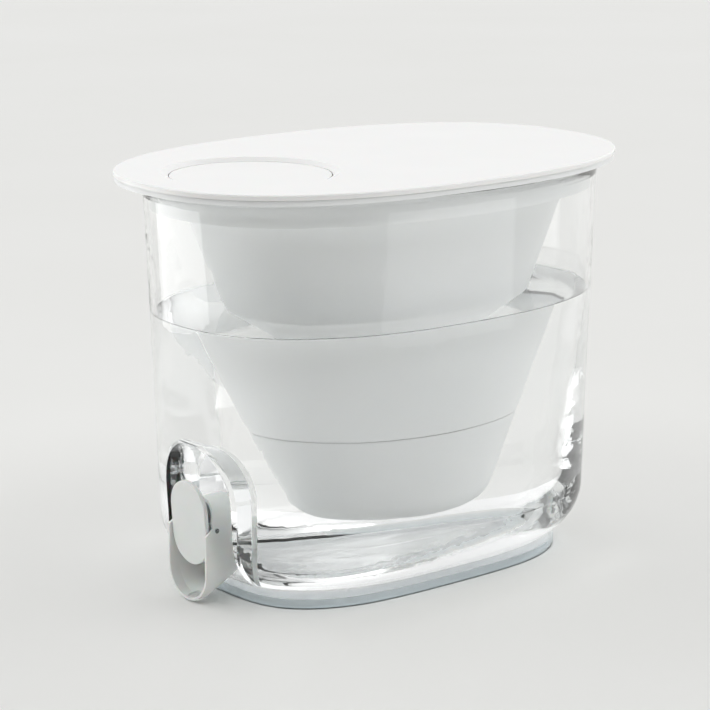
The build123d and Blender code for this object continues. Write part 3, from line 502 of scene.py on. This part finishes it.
# The bed is a core, smaller than the chamber all round by more than a grain's radius, so that the grains
# that lie on it stay inside the chamber.
margin = 1.35
outward = add(bed, "GeometryNodeInputNormal").outputs[0]
depth = add(bed, "ShaderNodeMath", {0: given["Grain radius"], 1: -margin}, operation="MULTIPLY").outputs[0]
inward = add(bed, "ShaderNodeVectorMath", {0: outward, "Scale": depth}, operation="SCALE").outputs[0]
core = add(bed, "GeometryNodeSetPosition", {"Geometry": given["Chamber"], "Offset": inward}).outputs[0]
spots = add(bed, "GeometryNodeDistributePointsOnFaces",
            {"Mesh": core, "Distance Min": given["Grain spacing"],
             "Density Max": given["Grains per square metre"], "Seed": given["Seed"]},
            distribute_method="POISSON")
grain = add(bed, "GeometryNodeMeshIcoSphere", {"Radius": given["Grain radius"], "Subdivisions": 1})
turned = add(bed, "FunctionNodeRandomValue",
             {0: (0.0, 0.0, 0.0), 1: (6.28, 6.28, 6.28), "Seed": given["Seed"]}, data_type="FLOAT_VECTOR")
squeezed = add(bed, "FunctionNodeRandomValue",
               {0: (0.6, 0.6, 0.6), 1: (1.1, 1.1, 1.1), "Seed": given["Seed"]}, data_type="FLOAT_VECTOR")
grains = add(bed, "GeometryNodeInstanceOnPoints",
             {"Points": spots.outputs["Points"], "Instance": grain.outputs["Mesh"],
              "Rotation": turned.outputs[0], "Scale": squeezed.outputs[0]})
both = add(bed, "GeometryNodeJoinGeometry")
bed.links.new(core, both.inputs[0])
bed.links.new(grains.outputs[0], both.inputs[0])
real = add(bed, "GeometryNodeRealizeInstances", {"Geometry": both.outputs[0]})
done = add(bed, "GeometryNodeSetMaterial", {"Geometry": real.outputs[0], "Material": given["Material"]})
add(bed, "NodeGroupOutput", {"Geometry": done.outputs[0]})
chamber = cad["cartridge_media"].data.copy()
chamber.materials.clear()
merged = bmesh.new()
merged.from_mesh(chamber)
bmesh.ops.remove_doubles(merged, verts=merged.verts, dist=1e-6)
merged.to_mesh(chamber)
merged.free()
media = grown("carbon_bed", bed, chamber, {
    bed_inputs["Grain radius"]: 0.0011, bed_inputs["Grain spacing"]: 0.0017,
    bed_inputs["Grains per square metre"]: 600000.0, bed_inputs["Seed"]: 7,
    bed_inputs["Material"]: granules}, "cartridge_media", "cartridge")


# Two discs of woven polyester gauze, welded over the granules so that none washes out. Real threads
# are 0.2 mm every 0.6 mm; here they are twice as coarse, so that the weave can be seen.
gauze, tree = material("polyester_monofilament_woven_gauze")
place = add(tree, "ShaderNodeTexCoord").outputs["Object"]
drawn = add(tree, "ShaderNodeTexNoise", {"Vector": place, "Scale": 700.0, "Detail": 1.0})
tone = add(tree, "ShaderNodeMix", {0: drawn.outputs[0], 6: linear("#DDDDD8"), 7: linear("#EDEDE9")},
           data_type="RGBA")
gloss = add(tree, "ShaderNodeMapRange", {"Value": drawn.outputs[0], "To Min": 0.35, "To Max": 0.5})
shader = add(tree, "ShaderNodeBsdfPrincipled", {"Base Color": tone.outputs[2], "Roughness": gloss.outputs[0],
             "IOR": 1.57})
add(tree, "ShaderNodeOutputMaterial", {"Surface": shader.outputs[0]})

weave = bpy.data.node_groups.new("woven_gauze_disc", "GeometryNodeTree")
weave_inputs = inputs_of(weave, {
    "Disc radius": "NodeSocketFloat", "Thread pitch": "NodeSocketFloat", "Thread radius": "NodeSocketFloat",
    "Centre": "NodeSocketVector", "Material": "NodeSocketMaterial"})
weave.interface.new_socket("Geometry", in_out="OUTPUT", socket_type="NodeSocketGeometry")
given = add(weave, "NodeGroupInput").outputs
pitch, rod = given["Thread pitch"], given["Thread radius"]
# Threads lie side by side from one edge of the disc to the other, as many as fit.
side = add(weave, "ShaderNodeMath", {0: given["Disc radius"], 1: pitch}, operation="DIVIDE").outputs[0]
side = add(weave, "ShaderNodeMath", {0: side}, operation="FLOOR").outputs[0]
count = add(weave, "ShaderNodeMath", {0: side, 1: 2.0, 2: 1.0}, operation="MULTIPLY_ADD").outputs[0]
number = add(weave, "GeometryNodeInputIndex").outputs[0]
number = add(weave, "ShaderNodeMath", {0: number, 1: side}, operation="SUBTRACT").outputs[0]
across = add(weave, "ShaderNodeMath", {0: number, 1: pitch}, operation="MULTIPLY").outputs[0]
start = add(weave, "ShaderNodeCombineXYZ", {"Y": across}).outputs[0]
threads = add(weave, "GeometryNodePoints", {"Count": count, "Position": start})
# Each thread is a chord of the disc, cut into steps of half a pitch.
lane = add(weave, "GeometryNodeInputPosition").outputs[0]
lane = add(weave, "ShaderNodeSeparateXYZ", {0: lane}).outputs["Y"]
lane = add(weave, "ShaderNodeMath", {0: lane, 1: given["Disc radius"]}, operation="DIVIDE").outputs[0]
chord = add(weave, "ShaderNodeMath", {0: lane, 1: lane}, operation="MULTIPLY").outputs[0]
chord = add(weave, "ShaderNodeMath", {0: 1.0001, 1: chord}, operation="SUBTRACT").outputs[0]
chord = add(weave, "ShaderNodeMath", {0: chord}, operation="SQRT").outputs[0]
chord = add(weave, "ShaderNodeMath", {0: chord, 1: given["Disc radius"]}, operation="MULTIPLY").outputs[0]
stretch = add(weave, "ShaderNodeCombineXYZ", {"X": chord, "Y": 1.0, "Z": 1.0}).outputs[0]
straight = add(weave, "GeometryNodeCurvePrimitiveLine", {"Start": (-1.0, 0.0, 0.0), "End": (1.0, 0.0, 0.0)})
laid = add(weave, "GeometryNodeInstanceOnPoints",
           {"Points": threads.outputs[0], "Instance": straight.outputs[0], "Scale": stretch})
laid = add(weave, "GeometryNodeRealizeInstances", {"Geometry": laid.outputs[0]})
fineness = add(weave, "ShaderNodeMath", {0: pitch, 1: 0.5}, operation="MULTIPLY").outputs[0]
laid = add(weave, "GeometryNodeResampleCurve", {"Curve": laid.outputs[0], "Length": fineness},
           mode="LENGTH").outputs[0]
# The threads pass over and under each other: height is cos(pi x / pitch) times cos(pi y / pitch).
at = add(weave, "GeometryNodeInputPosition").outputs[0]
at = add(weave, "ShaderNodeSeparateXYZ", {0: at}).outputs
rate = add(weave, "ShaderNodeMath", {0: math.pi, 1: pitch}, operation="DIVIDE").outputs[0]
swing_x = add(weave, "ShaderNodeMath", {0: at["X"], 1: rate}, operation="MULTIPLY").outputs[0]
swing_x = add(weave, "ShaderNodeMath", {0: swing_x}, operation="COSINE").outputs[0]
swing_y = add(weave, "ShaderNodeMath", {0: at["Y"], 1: rate}, operation="MULTIPLY").outputs[0]
swing_y = add(weave, "ShaderNodeMath", {0: swing_y}, operation="COSINE").outputs[0]
swing = add(weave, "ShaderNodeMath", {0: swing_x, 1: swing_y}, operation="MULTIPLY").outputs[0]
swing = add(weave, "ShaderNodeMath", {0: swing, 1: rod}, operation="MULTIPLY").outputs[0]
over = add(weave, "ShaderNodeCombineXYZ", {"Z": swing}).outputs[0]
warp = add(weave, "GeometryNodeSetPosition", {"Geometry": laid, "Offset": over}).outputs[0]
crossed = (math.pi, 0.0, math.pi / 2)
weft = add(weave, "GeometryNodeTransform", {"Geometry": warp, "Rotation": crossed}).outputs[0]
both = add(weave, "GeometryNodeJoinGeometry")
weave.links.new(warp, both.inputs[0])
weave.links.new(weft, both.inputs[0])
profile = add(weave, "GeometryNodeCurvePrimitiveCircle", {"Resolution": 5, "Radius": rod})
solid = add(weave, "GeometryNodeCurveToMesh",
            {"Curve": both.outputs[0], "Profile Curve": profile.outputs[0], "Fill Caps": True})
put = add(weave, "GeometryNodeTransform", {"Geometry": solid.outputs[0], "Translation": given["Centre"]})
real = add(weave, "GeometryNodeRealizeInstances", {"Geometry": put.outputs[0]})
done = add(weave, "GeometryNodeSetMaterial", {"Geometry": real.outputs[0], "Material": given["Material"]})
add(weave, "NodeGroupOutput", {"Geometry": done.outputs[0]})
edge_gap = 0.0004
for name, node in (("gauze_below_carbon", "cartridge_bottom_mesh"),
                   ("gauze_above_carbon", "cartridge_top_mesh")):
    low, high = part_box(node)
    disc = grown(name, weave, bpy.data.meshes.new(name), {
        weave_inputs["Disc radius"]: (high[0] - low[0]) / 2 - edge_gap,
        weave_inputs["Thread pitch"]: 0.0013, weave_inputs["Thread radius"]: 0.00018,
        weave_inputs["Centre"]: [(a + b) / 2 for a, b in zip(low, high)],
        weave_inputs["Material"]: gauze}, node, "cartridge")
